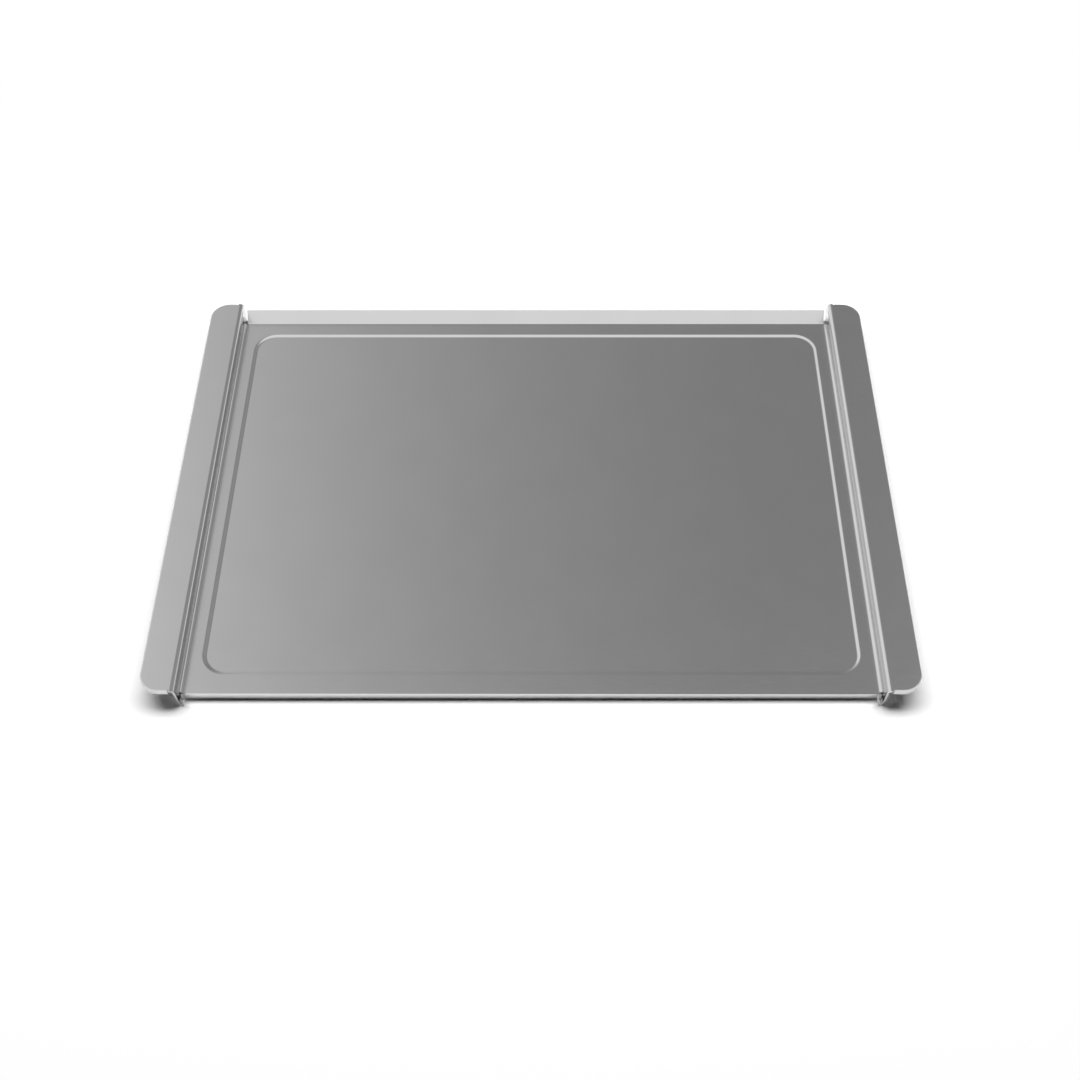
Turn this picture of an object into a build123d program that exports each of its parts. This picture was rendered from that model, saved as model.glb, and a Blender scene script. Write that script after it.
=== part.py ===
from build123d import *
import os

# Cookie sheet: a shallow aluminium oven sheet. Two raised side wings slide on the oven's runners,
# a pan hangs between them on upright walls, and a low lip stands along the rear.
# Frame: origin at the middle of the footprint on the table, +X right, +Y to the rear, +Z up.

# Driving sizes of the whole sheet
overall_width = 600.0
overall_depth = 400.0
overall_height = 24.0
sheet = 1.5

# Side walls and wings
wing_width = 25.0
wing_bend = 3.5
wing_corner = 16.0
rim_drop = 4.8
rim_round = 1.3

# Pan between the walls, joined to them by a hollow round
pan_level = 9.0
cove = 3.5
front_inset = 5.0
rear_inset = 12.2

# Pressed recess in the pan
recess_side_margin = 8.5
recess_front_margin = 14.9
recess_rear_margin = 11.4
recess_corner = 20.0
recess_slope = 4.0
recess_depth = 1.2

# Front edge, turned down over a tight fold, whose inside radius is given
front_fold = 0.2
front_clear = 1.8
end_gap = 0.3

# Rear lip, leaning back, with a gap to the wall at each end
lip_rise = 10.8
lip_lean = 8.2
lip_root = 1.2
lip_bend = 1.6
lip_gap = 2.8

# Folded feet under the walls
foot_width = 3.7
foot_round = 1.2
leg_lean = 2.3

# Places worked out from the sizes above
wing_end = overall_width / 2
wing_start = wing_end - wing_width
wall_in = wing_start - wing_bend
wall_out = wall_in + sheet
wing_under = overall_height - sheet
half_depth = overall_depth / 2
pan_front = half_depth - front_inset
pan_rear = half_depth - rear_inset
bend_level = overall_height - wing_bend
pan_under = pan_level - sheet
pan_side = wall_in - cove
cove_level = pan_level + cove
front_bend = sheet + front_fold
bend_line = front_bend - pan_front
pan_length = pan_rear - bend_line
pan_middle = (pan_rear + bend_line) / 2
recess_width = 2 * (pan_side - recess_side_margin)
recess_length = pan_length - recess_front_margin - recess_rear_margin
recess_middle = pan_middle + (recess_front_margin - recess_rear_margin) / 2
recess_level = pan_level - recess_depth
recess_under = recess_level - sheet
floor_width = recess_width - 2 * recess_slope
floor_length = recess_length - 2 * recess_slope
floor_corner = recess_corner - recess_slope

# Both sides are the same shapes, mirrored across the middle
sides = {"left": -1, "right": 1}

os.makedirs("parts", exist_ok=True)


def finish(piece, name):
    piece.part.label = name
    export_step(piece.part, f"parts/{name}.step")


def wing_outline(side, inset):
    # Footprint of a wing, drawn in from its three free edges by the inset
    width = wing_end - inset - wing_start
    middle = side * (wing_start + width / 2)
    with BuildSketch(Plane.XY.offset(overall_height)) as outline:
        with Locations((middle, 0)):
            Rectangle(width, overall_depth - 2 * inset)
        free_corners = outline.vertices().filter_by(lambda v: abs(v.X) > abs(middle))
        fillet(free_corners, wing_corner - inset)
    return outline.sketch


def side_wing(side):
    # Flat strip that rests on the oven's runner
    with BuildPart() as wing:
        add(wing_outline(side, sheet))
        extrude(amount=-sheet)
    return wing


def wing_rim(side):
    # Edge turned down round the three free sides of a wing
    with BuildPart() as rim:
        add(wing_outline(side, 0))
        extrude(amount=-rim_drop)
        top = rim.edges().group_by(Axis.Z)[-1]
        free_edges = top.filter_by(lambda e: abs(e.center().X) > wing_start + end_gap)
        fillet(free_edges, rim_round)
        add(wing_outline(side, sheet))
        extrude(amount=-rim_drop, mode=Mode.SUBTRACT)
    return rim


def side_wall(side):
    # Upright wall, the round bend above it that runs out into the wing, and the cove below
    with BuildPart() as wall:
        with BuildSketch(Plane.XZ.offset(-half_depth)):
            with BuildLine():
                Line((side * wing_start, wing_under), (side * wing_start, overall_height))
                CenterArc(
                    (side * wing_start, bend_level), wing_bend, 90, side * 90,
                )
                Polyline(
                    (side * wall_in, bend_level),
                    (side * wall_in, cove_level),
                    (side * wall_out, cove_level),
                    (side * wall_out, bend_level),
                )
                CenterArc(
                    (side * wing_start, bend_level), wing_bend - sheet, 90, side * 90,
                )
            make_face()
        extrude(amount=overall_depth)
        with BuildSketch(Plane.XZ.offset(-pan_rear)):
            with BuildLine():
                CenterArc((side * pan_side, cove_level), cove, 270, side * 90)
                Line((side * wall_in, cove_level), (side * wall_out, cove_level))
                CenterArc((side * pan_side, cove_level), cove + sheet, 270, side * 90)
                Line((side * pan_side, pan_under), (side * pan_side, pan_level))
            make_face()
        extrude(amount=pan_length)
    return wall


def side_foot(side):
    # Fold under the wall, which stands on the table, with its inner leg up to the pan
    foot_in = wall_out - foot_width
    lean_share = leg_lean / pan_under
    leg_foot = foot_in + sheet - lean_share * sheet
    leg_top = foot_in - lean_share * pan_level
    with BuildPart() as foot:
        with BuildSketch(Plane.XZ.offset(-half_depth)) as profile:
            with BuildLine():
                Polyline(
                    (side * wall_out, cove_level),
                    (side * wall_out, 0),
                    (side * foot_in, 0),
                    (side * leg_top, pan_level),
                    (side * (leg_top + sheet), pan_level),
                    (side * leg_foot, sheet),
                    (side * wall_in, sheet),
                    (side * wall_in, cove_level),
                    close=True,
                )
            make_face()
            fillet(profile.vertices().group_by(Axis.Y)[0], foot_round)
        extrude(amount=overall_depth)
        # Where the pan runs, the fold makes room for the pan's underside and the cove
        with BuildSketch(Plane.XZ.offset(-pan_rear)):
            with BuildLine():
                Line((side * leg_top, pan_under), (side * pan_side, pan_under))
                CenterArc((side * pan_side, cove_level), cove + sheet, 270, side * 90)
                Polyline(
                    (side * wall_out, cove_level),
                    (side * leg_top, cove_level),
                    (side * leg_top, pan_under),
                )
            make_face()
        extrude(amount=pan_length, mode=Mode.SUBTRACT)
        # Notch in the inner leg for the end of the front edge
        with BuildSketch(Plane.XY.offset(cove_level)):
            with Locations((side * (wall_in - foot_width), (bend_line - pan_front - end_gap) / 2)):
                Rectangle(2 * foot_width, bend_line + pan_front + end_gap)
        extrude(amount=sheet - cove_level, mode=Mode.SUBTRACT)
        # Behind the pan the inner leg is lower, clear of the lip's root
        with BuildSketch(Plane.XY.offset(cove_level)):
            with Locations((side * (wall_in - foot_width), (pan_rear + half_depth) / 2)):
                Rectangle(2 * foot_width, half_depth - pan_rear)
        extrude(amount=pan_under - end_gap - cove_level, mode=Mode.SUBTRACT)
    return foot


for side_name, side_sign in sides.items():
    finish(side_wing(side_sign), f"{side_name}_wing")
    finish(wing_rim(side_sign), f"{side_name}_wing_rim")
    finish(side_wall(side_sign), f"{side_name}_wall")
    finish(side_foot(side_sign), f"{side_name}_foot")

# Flat margin of the pan, round its recess
with BuildPart() as pan_border:
    with BuildSketch(Plane.XY.offset(pan_under)):
        with Locations((0, pan_middle)):
            Rectangle(2 * pan_side, pan_length)
        with Locations((0, recess_middle)):
            RectangleRounded(recess_width, recess_length, recess_corner, mode=Mode.SUBTRACT)
    extrude(amount=sheet)
finish(pan_border, "pan_border")

# Sloping step all round the recess
with BuildPart() as recess_step:
    with BuildSketch(Plane.XY.offset(pan_under)) as under_outer:
        with Locations((0, recess_middle)):
            RectangleRounded(recess_width, recess_length, recess_corner)
    extrude(amount=sheet)
    with BuildSketch(Plane.XY.offset(recess_under)) as under_inner:
        with Locations((0, recess_middle)):
            RectangleRounded(floor_width, floor_length, floor_corner)
    loft([under_outer.sketch, under_inner.sketch], ruled=True)
    with BuildSketch(Plane.XY.offset(pan_level)) as top_outer:
        with Locations((0, recess_middle)):
            RectangleRounded(recess_width, recess_length, recess_corner)
    with BuildSketch(Plane.XY.offset(recess_level)) as top_inner:
        with Locations((0, recess_middle)):
            RectangleRounded(floor_width, floor_length, floor_corner)
    loft([top_outer.sketch, top_inner.sketch], ruled=True, mode=Mode.SUBTRACT)
    with BuildSketch(Plane.XY.offset(recess_under)):
        with Locations((0, recess_middle)):
            RectangleRounded(floor_width, floor_length, floor_corner)
    extrude(amount=sheet, mode=Mode.SUBTRACT)
finish(recess_step, "recess_step")

# Flat baking surface inside the step
with BuildPart() as baking_panel:
    with BuildSketch(Plane.XY.offset(recess_under)):
        with Locations((0, recess_middle)):
            RectangleRounded(floor_width, floor_length, floor_corner)
    extrude(amount=sheet)
finish(baking_panel, "baking_panel")

# Front edge: a bend along the pan, and an upright strip that reaches almost to the walls
with BuildPart() as front_edge:
    strip_top = pan_level - front_bend
    strip_half = wall_in - end_gap
    with BuildSketch(Plane.YZ.offset(-pan_side)):
        with BuildLine():
            Line((bend_line, pan_under), (bend_line, pan_level))
            CenterArc((bend_line, strip_top), front_bend, 90, 90)
            Line((-pan_front, strip_top), (sheet - pan_front, strip_top))
            CenterArc((bend_line, strip_top), front_fold, 90, 90)
        make_face()
    extrude(amount=2 * pan_side)
    with BuildSketch(Plane.XY.offset(front_clear)):
        with Locations((0, sheet / 2 - pan_front)):
            Rectangle(2 * strip_half, sheet)
    extrude(amount=strip_top - front_clear)
finish(front_edge, "front_edge")

# Rear lip: bends up out of the pan and leans back, and stops short of the walls
with BuildPart() as rear_lip:
    root_level = pan_level - sheet / 2
    lip_half = wall_in - lip_gap
    with BuildSketch(Plane.YZ.offset(-lip_half)) as lip_profile:
        with BuildLine() as lip_line:
            FilletPolyline(
                (pan_rear, root_level),
                (pan_rear + lip_root, root_level),
                (pan_rear + lip_root + lip_lean, root_level + lip_rise),
                radius=lip_bend,
            )
        trace(line_width=sheet)
    extrude(amount=2 * lip_half)
finish(rear_lip, "rear_lip")
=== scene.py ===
import math

import bmesh
import bpy
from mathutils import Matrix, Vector


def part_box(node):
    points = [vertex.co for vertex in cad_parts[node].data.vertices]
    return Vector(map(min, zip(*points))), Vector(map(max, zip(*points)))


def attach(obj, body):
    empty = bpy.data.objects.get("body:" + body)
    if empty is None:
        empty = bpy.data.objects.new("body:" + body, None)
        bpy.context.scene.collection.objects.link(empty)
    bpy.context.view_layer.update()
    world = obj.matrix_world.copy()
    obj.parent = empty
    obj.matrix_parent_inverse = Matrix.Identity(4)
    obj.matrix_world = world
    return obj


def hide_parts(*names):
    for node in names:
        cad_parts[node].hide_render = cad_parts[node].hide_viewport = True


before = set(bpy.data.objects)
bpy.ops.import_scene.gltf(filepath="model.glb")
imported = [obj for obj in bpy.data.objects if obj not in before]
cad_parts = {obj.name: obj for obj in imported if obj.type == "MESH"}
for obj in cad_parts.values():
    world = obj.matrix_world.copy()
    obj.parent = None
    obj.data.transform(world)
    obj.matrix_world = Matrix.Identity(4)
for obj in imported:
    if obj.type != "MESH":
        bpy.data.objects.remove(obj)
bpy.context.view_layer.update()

MM = 0.001

# Sizes of the pressed sheet, in millimetres
SHEET = 1.5
WING_BEND = 3.5
WING_CORNER = 16.0
RIM_DROP = 4.8
RIM_ROUND = 1.4
RIM_RELIEF = 1.0
RIM_SLIT = 0.6
RECESS_CORNER = 20.0
LIP_ROOT = 1.2
LIP_BEND = 1.6
FOOT_ROUND = 1.2
FOOT_WIDTH = 3.7
LEG_LEAN = 2.3
CUT_EDGE = 0.2
FOLD_ROUND = 0.9

# Width of the flat strip beside each bend, where the bend's shading ends
FLAT_STRIP = 0.3

# How finely the bends are drawn, and how near two points are one
BEND_STEPS = 8
CORNER_STEPS = 16
STEP_LOOPS = 8
ROUND_STEPS = 4
CUT_EDGE_STEPS = 2
SAME_PLACE = 0.001

# Points along a wing's free outline: two round corners, and an end beside the bend at each side
OUTLINE_POINTS = 2 * (CORNER_STEPS + 1) + 2

# Least turn, in degrees, of a foot's corner, of a crease in the shading and of a cut edge
FOOT_TURN = 30
CREASE_TURN = 32
CUT_TURN = 60

# Skin of the metal: its darker and paler tone, roughness range, and repeats per metre of its patterns
DARKER_METAL = "#CECECE"
PALER_METAL = "#D4D4D4"
SMOOTHEST = 0.16
ROUGHEST = 0.22
STREAK_LENGTH_SCALE = 80.0
STREAK_WIDTH_SCALE = 900.0
STREAK_DETAIL = 3.0
STREAK_BREAKUP = 0.6
STREAK_LOW = 0.3
STREAK_HIGH = 0.7
STREAK_STRENGTH = 0.3
STREAK_DEPTH = 0.01 * MM
CLOUD_SCALE = 25.0
CLOUD_DETAIL = 2.0
CLOUD_BREAKUP = 0.5

# The studio's surroundings, where a level of 1 is white. Starts and ends are parts of a sight line's
# unit length along X, Y or Z, and the backdrop's are metres from the sheet's middle.
WHITE_COLOUR = "#FFFFFF"
WHITE = 1.0
RIGHT_LEVEL = 0.225
LEFT_RISE = 0.125
LEFT_STEEPNESS = -4.5
RIGHT_RISE = 0.12
RIGHT_START = 0.22
RIGHT_FULL = 0.34
FRONT_START = 0.45
FRONT_FULL = 0.0
HORIZON_START = 0.1
HORIZON_END = 0.35
BACK_START = 0.6
BACK_FULL = 0.9
BACKDROP_START = 0.4
BACKDROP_FULL = 0.8
TABLE_HALF = 6.0

# Lamp and camera: metres, watts and degrees, with the camera's lens and sensor in millimetres
LAMP_PLACE = (0, 0.75, 2.9)
LAMP_TARGET = (0, 0, 0)
LAMP_SIZE = (4.2, 1.22)
LAMP_POWER = 138
CAMERA_PLACE = (0.0204, -0.6422, 0.908)
CAMERA_TILT = 33.26
CAMERA_SHIFT = -0.0163
CAMERA_LENS = 43.07
CAMERA_SENSOR = 36.0


def node_span(name, axis):
    """Lowest and highest place of a frame node along one axis, in millimetres."""
    low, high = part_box(name)
    return low[axis] / MM, high[axis] / MM


# Places read from the frame, in millimetres
WING_START, WING_END = node_span("right_wing_rim", 0)
HALF_DEPTH = node_span("right_wall", 1)[1]
TOP = node_span("right_wall", 2)[1]
WALL_IN = WING_START - WING_BEND
WALL_OUT = WALL_IN + SHEET
PAN_SIDE = node_span("pan_border", 0)[1]
PAN_FLAT = PAN_SIDE - FLAT_STRIP
COVE = WALL_IN - PAN_SIDE
PAN_FRONT, PAN_REAR = node_span("pan_border", 1)
PAN_UNDER, PAN_TOP = node_span("pan_border", 2)
STRIP_FACE, BEND_LINE = node_span("front_edge", 1)
STRIP_TOP = PAN_TOP - (BEND_LINE - STRIP_FACE)
STRIP_LOW = node_span("front_edge", 2)[0]
STRIP_HALF = node_span("front_edge", 0)[1]
FLOOR_TOP = node_span("baking_panel", 2)[1]
RECESS_HALF = node_span("recess_step", 0)[1]
RECESS_SLOPE = RECESS_HALF - node_span("baking_panel", 0)[1]
RECESS_FRONT, RECESS_REAR = node_span("recess_step", 1)
LIP_HALF = node_span("rear_lip", 0)[1]
LIP_BACK = node_span("rear_lip", 1)[1]
LIP_TOP = node_span("rear_lip", 2)[1]

# Upper side of the foot's inner leg, which leans inward as it rises
LEAN_SHARE = LEG_LEAN / PAN_UNDER
LEG_IN = WALL_OUT - FOOT_WIDTH + SHEET
LEG_FOOT = LEG_IN - LEAN_SHARE * SHEET
LEG_TOP = LEG_IN - LEAN_SHARE * PAN_TOP


def colour(hex_value):
    """Linear colour from an sRGB hex value."""
    channels = [int(hex_value[index:index + 2], 16) / 255 for index in (1, 3, 5)]
    linear = [c / 12.92 if c <= 0.04045 else ((c + 0.055) / 1.055) ** 2.4 for c in channels]
    return (*linear, 1.0)


def turn(centre, radius, start, end):
    """Points along a round bend, from one angle to the other, in degrees."""
    points = []
    for index in range(BEND_STEPS + 1):
        angle = math.radians(start + (end - start) * index / BEND_STEPS)
        points.append((centre[0] + radius * math.cos(angle), centre[1] + radius * math.sin(angle)))
    return points


def pull_edges(shape, edges, step):
    """Extrudes edges once, by a step, and returns the new edges."""
    made = bmesh.ops.extrude_edge_only(shape, edges=edges)["geom"]
    new_points = [item for item in made if isinstance(item, bmesh.types.BMVert)]
    bmesh.ops.translate(shape, verts=new_points, vec=Vector(step))
    new_edges = [item for item in made if isinstance(item, bmesh.types.BMEdge)]
    return [edge for edge in new_edges if all(point in new_points for point in edge.verts)]


def pull_along(shape, edge, path):
    """Pulls an edge from place to place along a path, and returns the faces that this makes."""
    faces = []
    line = [edge]
    for place, next_place in zip(path, path[1:]):
        line = pull_edges(shape, line, [new - old for old, new in zip(place, next_place)])
        faces.append(line[0].link_faces[0])
    return faces


def widen(shape, faces, half_width):
    """Pulls the ends of faces that are as wide as the pan's flat out to a greater width."""
    for side in (-1, 1):
        ends = [
            edge for face in faces for edge in face.edges
            if all(abs(point.co.x - side * PAN_FLAT) < SAME_PLACE for point in edge.verts)
        ]
        pull_edges(shape, ends, (side * (half_width - PAN_FLAT), 0, 0))


def thicken(shape):
    """Gives the skin the sheet's thickness, on its lower side."""
    bmesh.ops.remove_doubles(shape, verts=shape.verts, dist=SAME_PLACE)
    bmesh.ops.recalc_face_normals(shape, faces=shape.faces)
    upward = sum(face.normal.z * face.calc_area() for face in shape.faces)
    if upward < 0:
        bmesh.ops.reverse_faces(shape, faces=shape.faces)
    bmesh.ops.solidify(shape, geom=shape.faces, thickness=SHEET)
    shape.normal_update()


def round_edges(shape, edges, radius, steps=ROUND_STEPS):
    """Rounds the given edges."""
    bmesh.ops.bevel(
        shape, geom=edges, affect="EDGES", offset=radius, segments=steps, profile=0.5, material=-1,
        clamp_overlap=True,
    )


def soften_cuts(shape):
    """Takes the sharpness off the sheet's cut edges."""
    shape.normal_update()
    limit = math.radians(CUT_TURN)
    sharp = [edge for edge in shape.edges if len(edge.link_faces) == 2 and edge.calc_face_angle(0) > limit]
    round_edges(shape, sharp, CUT_EDGE, CUT_EDGE_STEPS)


def finish_piece(shape, name, nodes, material):
    """Writes the shape as an object in metres that rides on the sheet and replaces its nodes."""
    bmesh.ops.dissolve_degenerate(shape, edges=shape.edges, dist=SAME_PLACE)
    bmesh.ops.scale(shape, vec=Vector((MM, MM, MM)), verts=shape.verts)
    bmesh.ops.recalc_face_normals(shape, faces=shape.faces)
    mesh = bpy.data.meshes.new(name)
    shape.to_mesh(mesh)
    shape.free()
    mesh.polygons.foreach_set("use_smooth", [True] * len(mesh.polygons))
    mesh.set_sharp_from_angle(angle=math.radians(CREASE_TURN))
    mesh.materials.append(material)
    piece = bpy.data.objects.new(name, mesh)
    bpy.context.scene.collection.objects.link(piece)
    shading = piece.modifiers.new("flats_stay_flat", "WEIGHTED_NORMAL")
    shading.keep_sharp = True
    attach(piece, "root")
    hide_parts(*nodes)


def wing_point(side, index, inset):
    """Place of one point of a wing's free outline, drawn in by the inset."""
    reach = WING_CORNER - inset
    corner_x = WING_END - WING_CORNER
    corner_y = HALF_DEPTH - WING_CORNER
    if index in (0, OUTLINE_POINTS - 1):
        end = -1 if index == 0 else 1
        return (side * (WING_START + RIM_RELIEF + RIM_SLIT), end * (HALF_DEPTH - inset))
    front = index <= CORNER_STEPS + 1
    step = index - 1 if front else index - CORNER_STEPS - 2
    start = -90 if front else 0
    angle = math.radians(start + 90 * step / CORNER_STEPS)
    middle_y = -corner_y if front else corner_y
    return (side * (corner_x + reach * math.cos(angle)), middle_y + reach * math.sin(angle))


def bend_rim(shape, side, row):
    """Bends the rim down round a wing's three free sides, from the row of points on its outline."""
    bend = turn((0, 0), RIM_ROUND, 90, 0)[1:]
    levels = [(RIM_ROUND - out, TOP - RIM_ROUND + up) for out, up in bend]
    for inset, level in [*levels, (0, TOP - RIM_DROP)]:
        edges = [shape.edges.get(pair) for pair in zip(row, row[1:])]
        made = bmesh.ops.extrude_edge_only(shape, edges=edges)["geom"]
        partner = {}
        for new in [item for item in made if isinstance(item, bmesh.types.BMVert)]:
            for other in [edge.other_vert(new) for edge in new.link_edges]:
                if other in row:
                    partner[other] = new
        row = [partner[point] for point in row]
        for index, point in enumerate(row):
            point.co = (*wing_point(side, index, inset), level)


def face_is_leg(face, side):
    """Whether a face belongs to the inner leg of the foot."""
    low = all(point.co.z <= PAN_TOP + SAME_PLACE for point in face.verts)
    return low and any(abs(point.co.x - side * LEG_TOP) < SAME_PLACE for point in face.verts)


def cut_leg(shape, side):
    """Leaves the foot's inner leg at full height in front of the pan, and lowers it from there on."""
    leg = next(face for face in shape.faces if face_is_leg(face, side))
    bmesh.ops.bisect_plane(
        shape, geom=[leg, *leg.edges, *leg.verts], plane_co=(0, PAN_FRONT, 0), plane_no=(0, 1, 0),
    )
    for point in shape.verts:
        if abs(point.co.z - PAN_TOP) < SAME_PLACE and point.co.y > PAN_FRONT - SAME_PLACE:
            point.co.x += side * LEAN_SHARE * SHEET
            point.co.z = PAN_UNDER


def is_foot_corner(edge):
    """Whether an edge is one of the two long corners that the foot stands on."""
    if any(abs(point.co.z) > SAME_PLACE for point in edge.verts) or len(edge.link_faces) < 2:
        return False
    runs_back = abs(edge.verts[0].co.y - edge.verts[1].co.y) > SHEET
    return runs_back and edge.calc_face_angle() > math.radians(FOOT_TURN)


def side_shell(side_name, side, material):
    """Wing, its rim, the bend, the wall and the folded foot, as one folded sheet."""
    shape = bmesh.new()
    start_x = side * (WING_START + FLAT_STRIP)
    tab_x = side * (WING_START + RIM_RELIEF)
    fold_y = HALF_DEPTH - RIM_ROUND
    front_tab = [(start_x, -HALF_DEPTH), (tab_x, -HALF_DEPTH), (tab_x, -fold_y)]
    rear_tab = [(tab_x, fold_y), (tab_x, HALF_DEPTH), (start_x, HALF_DEPTH)]
    outline = [wing_point(side, index, RIM_ROUND) for index in range(OUTLINE_POINTS)]
    points = [shape.verts.new((x, y, TOP)) for x, y in front_tab + outline + rear_tab]
    shape.faces.new(points)
    bend_rim(shape, side, points[len(front_tab):-len(rear_tab)])

    # The bend, the wall and the fold of the foot, drawn on the sheet's upper side
    profile = [(WING_START + FLAT_STRIP, TOP)]
    profile += turn((WING_START, TOP - WING_BEND), WING_BEND, 90, 180)
    profile += [(WALL_IN, SHEET), (LEG_FOOT, SHEET), (LEG_TOP, PAN_TOP)]
    inner_edge = shape.edges.get((points[0], points[-1]))
    pull_along(shape, inner_edge, [(side * x, 0, z) for x, z in profile])

    cut_leg(shape, side)
    thicken(shape)
    round_edges(shape, [edge for edge in shape.edges if is_foot_corner(edge)], FOOT_ROUND)
    soften_cuts(shape)
    nodes = [f"{side_name}_{part}" for part in ("wing", "wing_rim", "wall", "foot")]
    finish_piece(shape, f"{side_name}_side_shell", nodes, material)


def press_recess(shape):
    """Recess with round corners. Its step is an S in section, so light runs smoothly over it."""
    corners = [
        (-RECESS_HALF, RECESS_FRONT), (RECESS_HALF, RECESS_FRONT),
        (RECESS_HALF, RECESS_REAR), (-RECESS_HALF, RECESS_REAR),
    ]
    shape.faces.new([shape.verts.new((x, y, PAN_TOP)) for x, y in corners])
    bmesh.ops.bevel(
        shape, geom=list(shape.verts), affect="VERTICES", offset=RECESS_CORNER, segments=CORNER_STEPS,
        profile=0.5, material=-1,
    )
    shape.faces.ensure_lookup_table()
    inner = shape.faces[0]
    depth = PAN_TOP - FLOOR_TOP
    run = (RECESS_SLOPE - 2 * FLAT_STRIP) / STEP_LOOPS
    falls = [depth * (1 - math.cos(math.pi * loop / STEP_LOOPS)) / 2 for loop in range(STEP_LOOPS + 1)]
    rings = [(run, lower - upper) for upper, lower in zip(falls, falls[1:])]
    for width, fall in [(FLAT_STRIP, 0), *rings, (FLAT_STRIP, 0)]:
        bmesh.ops.inset_region(
            shape, faces=[inner], thickness=width, depth=-fall, use_boundary=True, use_even_offset=True,
        )


def lay_margin(shape):
    """Flat margin from the recess to the pan's own edges, which it returns: front, right, rear, left."""
    recess_outline = [edge for edge in shape.edges if edge.is_boundary]
    right_side = [(PAN_FLAT, STRIP_FACE), (PAN_FLAT, PAN_FRONT), (PAN_FLAT, PAN_REAR)]
    left_side = [(-x, y) for x, y in reversed(right_side)]
    points = [shape.verts.new((x, y, PAN_TOP)) for x, y in right_side + left_side]
    rim = [shape.edges.new((points[i - 1], points[i])) for i in range(len(points))]
    bmesh.ops.triangle_fill(shape, edges=recess_outline + rim, use_beauty=True, normal=(0, 0, 1))
    front_edge, _, right_edge, rear_edge, left_edge, _ = rim
    return front_edge, right_edge, rear_edge, left_edge


def lip_path():
    """Upper side of the rear lip in section: short root, bend, and the straight leaning part."""
    root_end = PAN_REAR + LIP_ROOT
    slope = math.atan2(LIP_TOP - PAN_TOP, LIP_BACK - root_end - SHEET)
    radius = LIP_BEND - SHEET / 2
    centre = (root_end - radius * math.tan(slope / 2), PAN_TOP + radius)
    bend = turn(centre, radius, -90, math.degrees(slope) - 90)
    bend_y, bend_z = bend[-1]
    tip_y = bend_y + (LIP_TOP - bend_z) / math.tan(slope)
    return [(PAN_REAR, PAN_TOP), *bend, (tip_y, LIP_TOP)]


def at_fold(place):
    """Whether a point lies on the upper edge of the front fold."""
    return abs(place.y - STRIP_FACE) < SAME_PLACE and abs(place.z - PAN_TOP) < SAME_PLACE


def pan_shell(material):
    """Pan with its pressed recess, the coves at its sides, the front edge and the rear lip."""
    shape = bmesh.new()
    press_recess(shape)
    front_edge, right_edge, rear_edge, left_edge = lay_margin(shape)

    # Coves up to the walls
    cove_path = [(PAN_FLAT, PAN_TOP), *turn((PAN_SIDE, PAN_TOP + COVE), COVE, 270, 360)]
    for side, edge in ((1, right_edge), (-1, left_edge)):
        pull_along(shape, edge, [(side * x, 0, z) for x, z in cove_path])

    # Front edge, folded down, and below the fold wider than the pan's flat
    front_faces = pull_along(shape, front_edge, [(0, 0, z) for z in (PAN_TOP, STRIP_TOP, STRIP_LOW)])
    widen(shape, front_faces[1:], STRIP_HALF)

    # Rear lip, bent up and leaning back, and past its root wider than the pan's flat
    lip_faces = pull_along(shape, rear_edge, [(0, y, z) for y, z in lip_path()])
    widen(shape, lip_faces[1:], LIP_HALF)

    # The coves' thickness ends at the walls
    thicken(shape)
    for point in shape.verts:
        if abs(point.co.x) > WALL_IN:
            point.co.x = math.copysign(WALL_IN, point.co.x)
    bmesh.ops.remove_doubles(shape, verts=shape.verts, dist=SAME_PLACE)
    bmesh.ops.dissolve_degenerate(shape, edges=shape.edges, dist=SAME_PLACE)

    fold = [edge for edge in shape.edges if all(at_fold(point.co) for point in edge.verts)]
    round_edges(shape, fold, FOLD_ROUND)
    nodes = ("pan_border", "recess_step", "baking_panel", "front_edge", "rear_lip")
    finish_piece(shape, "pan_shell", nodes, material)


def add_node(tree, kind, settings=None, links=None):
    """Adds one node with its settings, and links its inputs from other nodes' outputs."""
    node = tree.nodes.new(kind)
    for key, value in (settings or {}).items():
        if isinstance(key, int) or key in node.inputs:
            node.inputs[key].default_value = value
        else:
            setattr(node, key, value)
    for key, source in (links or {}).items():
        tree.links.new(source, node.inputs[key])
    return node


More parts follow.
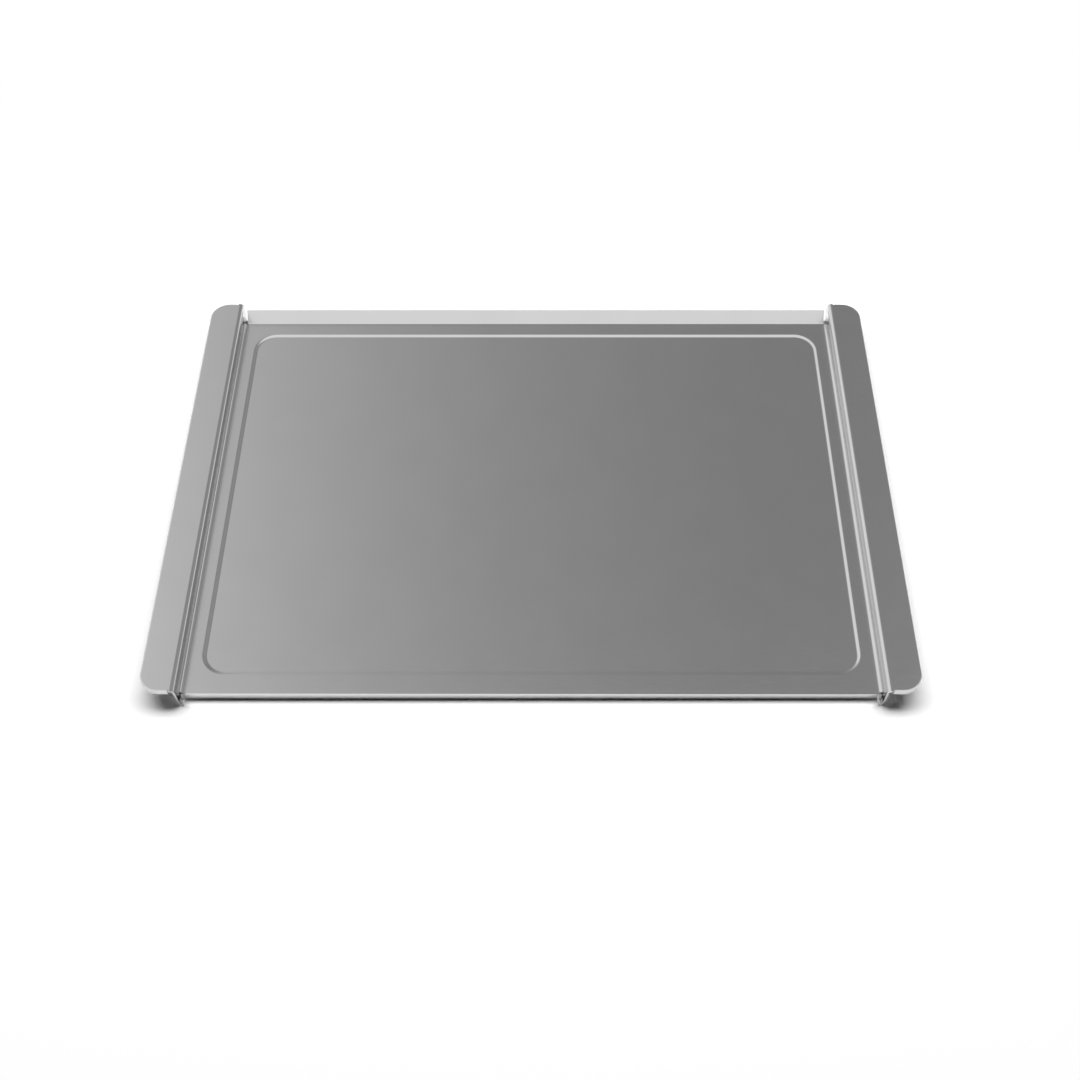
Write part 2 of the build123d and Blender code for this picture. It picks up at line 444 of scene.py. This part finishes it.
def satin_aluminium():
    """Rolled aluminium with a satin skin: blurred reflections, faint streaks and a soft cloudiness."""
    material = bpy.data.materials.new("satin_rolled_aluminium")
    material.use_nodes = True
    tree = material.node_tree
    shader = tree.nodes["Principled BSDF"]
    shader.inputs["Metallic"].default_value = 1.0
    place = add_node(tree, "ShaderNodeTexCoord")

    # Rolling streaks run across the sheet. Real ones are hairlines of 0.1 mm, too fine to show at this
    # distance, so they are drawn about 1 mm wide and 12 mm long. They break the gloss up a little.
    stretch = add_node(
        tree, "ShaderNodeMapping", {"Scale": (STREAK_LENGTH_SCALE, STREAK_WIDTH_SCALE, STREAK_WIDTH_SCALE)},
        {"Vector": place.outputs["Object"]},
    )
    streaks = add_node(
        tree, "ShaderNodeTexNoise", {"Scale": 1.0, "Detail": STREAK_DETAIL, "Roughness": STREAK_BREAKUP},
        {"Vector": stretch.outputs["Vector"]},
    )
    gloss = add_node(
        tree, "ShaderNodeMapRange",
        {"From Min": STREAK_LOW, "From Max": STREAK_HIGH, "To Min": SMOOTHEST, "To Max": ROUGHEST},
        {"Value": streaks.outputs["Fac"]},
    )
    tree.links.new(gloss.outputs["Result"], shader.inputs["Roughness"])
    relief = add_node(
        tree, "ShaderNodeBump", {"Strength": STREAK_STRENGTH, "Distance": STREAK_DEPTH},
        {"Height": streaks.outputs["Fac"]},
    )
    tree.links.new(relief.outputs["Normal"], shader.inputs["Normal"])

    # Soft clouds a few centimetres across, such as use and washing leave, vary the metal's tone slightly
    clouds = add_node(
        tree, "ShaderNodeTexNoise",
        {"Scale": CLOUD_SCALE, "Detail": CLOUD_DETAIL, "Roughness": CLOUD_BREAKUP},
        {"Vector": place.outputs["Object"]},
    )
    tone = add_node(
        tree, "ShaderNodeMix",
        {"data_type": "RGBA", 6: colour(DARKER_METAL), 7: colour(PALER_METAL)},
        {0: clouds.outputs["Fac"]},
    )
    tree.links.new(tone.outputs[2], shader.inputs["Base Color"])
    return material


def white_table():
    """Matt white table that keeps the sheet's shadow, and runs out into a white backdrop."""
    material = bpy.data.materials.new("matt_white_table")
    material.use_nodes = True
    tree = material.node_tree
    shader = tree.nodes["Principled BSDF"]
    shader.inputs["Base Color"].default_value = colour(WHITE_COLOUR)
    shader.inputs["Roughness"].default_value = 1.0
    shader.inputs["Specular IOR Level"].default_value = 0.0

    # The backdrop's white is only seen or mirrored, and lights nothing
    place = add_node(tree, "ShaderNodeTexCoord")
    reach = add_node(tree, "ShaderNodeVectorMath", {"operation": "LENGTH"}, {0: place.outputs["Object"]})
    far = add_node(
        tree, "ShaderNodeMapRange",
        {"interpolation_type": "SMOOTHSTEP", "From Min": BACKDROP_START, "From Max": BACKDROP_FULL},
        {"Value": reach.outputs["Value"]},
    )
    ray = add_node(tree, "ShaderNodeLightPath")
    mirrored = add_node(
        tree, "ShaderNodeMath", {"operation": "MAXIMUM"},
        {0: ray.outputs["Is Glossy Ray"], 1: ray.outputs["Is Transmission Ray"]},
    )
    shown = add_node(
        tree, "ShaderNodeMath", {"operation": "MAXIMUM"},
        {0: ray.outputs["Is Camera Ray"], 1: mirrored.outputs[0]},
    )
    share = add_node(
        tree, "ShaderNodeMath", {"operation": "MULTIPLY"}, {0: far.outputs["Result"], 1: shown.outputs[0]}
    )
    white = add_node(tree, "ShaderNodeEmission", {"Color": colour(WHITE_COLOUR), "Strength": WHITE})
    both = add_node(
        tree, "ShaderNodeMixShader",
        links={0: share.outputs[0], 1: shader.outputs["BSDF"], 2: white.outputs["Emission"]},
    )
    output = tree.nodes["Material Output"]
    tree.links.new(both.outputs["Shader"], output.inputs["Surface"])
    return material


def make_table():
    """Table far wider than the view."""
    shape = bmesh.new()
    bmesh.ops.create_grid(shape, x_segments=1, y_segments=1, size=TABLE_HALF)
    mesh = bpy.data.meshes.new("table_top")
    shape.to_mesh(mesh)
    shape.free()
    mesh.materials.append(white_table())
    table = bpy.data.objects.new("table_top", mesh)
    bpy.context.scene.collection.objects.link(table)


def make_world():
    """Studio for the metal to mirror: white in front, overhead and low at the sides, and grey behind."""
    world = bpy.data.worlds.new("studio")
    bpy.context.scene.world = world
    world.use_nodes = True
    world.cycles_visibility.diffuse = False
    tree = world.node_tree
    background = tree.nodes["Background"]
    background.inputs["Color"].default_value = colour(WHITE_COLOUR)
    place = add_node(tree, "ShaderNodeTexCoord")
    way = add_node(tree, "ShaderNodeSeparateXYZ", links={0: place.outputs["Generated"]})

    # From right to left the ceiling grows paler, faster and faster
    slant = add_node(
        tree, "ShaderNodeMath", {"operation": "MULTIPLY", 1: LEFT_STEEPNESS}, {0: way.outputs["X"]}
    )
    rise = add_node(tree, "ShaderNodeMath", {"operation": "EXPONENT"}, {0: slant.outputs[0]})
    ceiling = add_node(
        tree, "ShaderNodeMath", {"operation": "MULTIPLY_ADD", 1: LEFT_RISE, 2: RIGHT_LEVEL},
        {0: rise.outputs[0]},
    )

    # Past its darkest part, further to the right, the ceiling is a little paler again
    right_end = add_node(
        tree, "ShaderNodeMapRange",
        {"interpolation_type": "SMOOTHSTEP", "From Min": RIGHT_START, "From Max": RIGHT_FULL,
         "To Min": 0.0, "To Max": RIGHT_RISE},
        {"Value": way.outputs["X"]},
    )
    raised = add_node(
        tree, "ShaderNodeMath", {"operation": "ADD"},
        {0: ceiling.outputs[0], 1: right_end.outputs["Result"]},
    )
    capped = add_node(tree, "ShaderNodeMath", {"operation": "MINIMUM", 1: WHITE}, {0: raised.outputs[0]})

    # Straight above and to the front the studio is white, and so is the backdrop low down at the sides
    front = add_node(
        tree, "ShaderNodeMapRange",
        {"interpolation_type": "SMOOTHSTEP", "From Min": FRONT_FULL, "From Max": FRONT_START,
         "To Min": 1.0, "To Max": 0.0},
        {"Value": way.outputs["Y"]},
    )
    horizon = add_node(
        tree, "ShaderNodeMapRange",
        {"interpolation_type": "SMOOTHSTEP", "From Min": HORIZON_START, "From Max": HORIZON_END,
         "To Min": 1.0, "To Max": 0.0},
        {"Value": way.outputs["Z"]},
    )
    beside = add_node(
        tree, "ShaderNodeMapRange",
        {"interpolation_type": "SMOOTHSTEP", "From Min": BACK_START, "From Max": BACK_FULL,
         "To Min": 1.0, "To Max": 0.0},
        {"Value": way.outputs["Y"]},
    )
    low = add_node(
        tree, "ShaderNodeMath", {"operation": "MULTIPLY"},
        {0: horizon.outputs["Result"], 1: beside.outputs["Result"]},
    )
    whiter = add_node(
        tree, "ShaderNodeMath", {"operation": "MAXIMUM"}, {0: front.outputs["Result"], 1: low.outputs[0]}
    )
    both = add_node(
        tree, "ShaderNodeMix", {"data_type": "FLOAT", "B": WHITE},
        {"Factor": whiter.outputs[0], "A": capped.outputs[0]},
    )
    tree.links.new(both.outputs["Result"], background.inputs["Strength"])


def make_lamp():
    """Large soft lamp overhead. It lights the table, and the metal mirrors the studio instead of it."""
    data = bpy.data.lights.new("overhead_lamp", "AREA")
    data.shape = "RECTANGLE"
    data.size, data.size_y = LAMP_SIZE
    data.energy = LAMP_POWER
    lamp = bpy.data.objects.new("overhead_lamp", data)
    lamp.location = LAMP_PLACE
    facing = Vector(LAMP_TARGET) - Vector(LAMP_PLACE)
    lamp.rotation_euler = facing.to_track_quat("-Z", "Y").to_euler()
    lamp.visible_glossy = False
    bpy.context.scene.collection.objects.link(lamp)


def make_camera():
    """Camera above the front edge, at the photograph's angle."""
    data = bpy.data.cameras.new("camera")
    data.sensor_width = CAMERA_SENSOR
    data.lens = CAMERA_LENS
    data.shift_x = CAMERA_SHIFT
    camera = bpy.data.objects.new("camera", data)
    camera.location = CAMERA_PLACE
    camera.rotation_euler = (math.radians(CAMERA_TILT), 0, 0)
    bpy.context.scene.collection.objects.link(camera)
    bpy.context.scene.camera = camera


aluminium = satin_aluminium()
for side_name, side_sign in (("left", -1), ("right", 1)):
    side_shell(side_name, side_sign, aluminium)
pan_shell(aluminium)
make_table()
make_world()
make_lamp()
make_camera()

bpy.context.scene.view_settings.view_transform = "Standard"
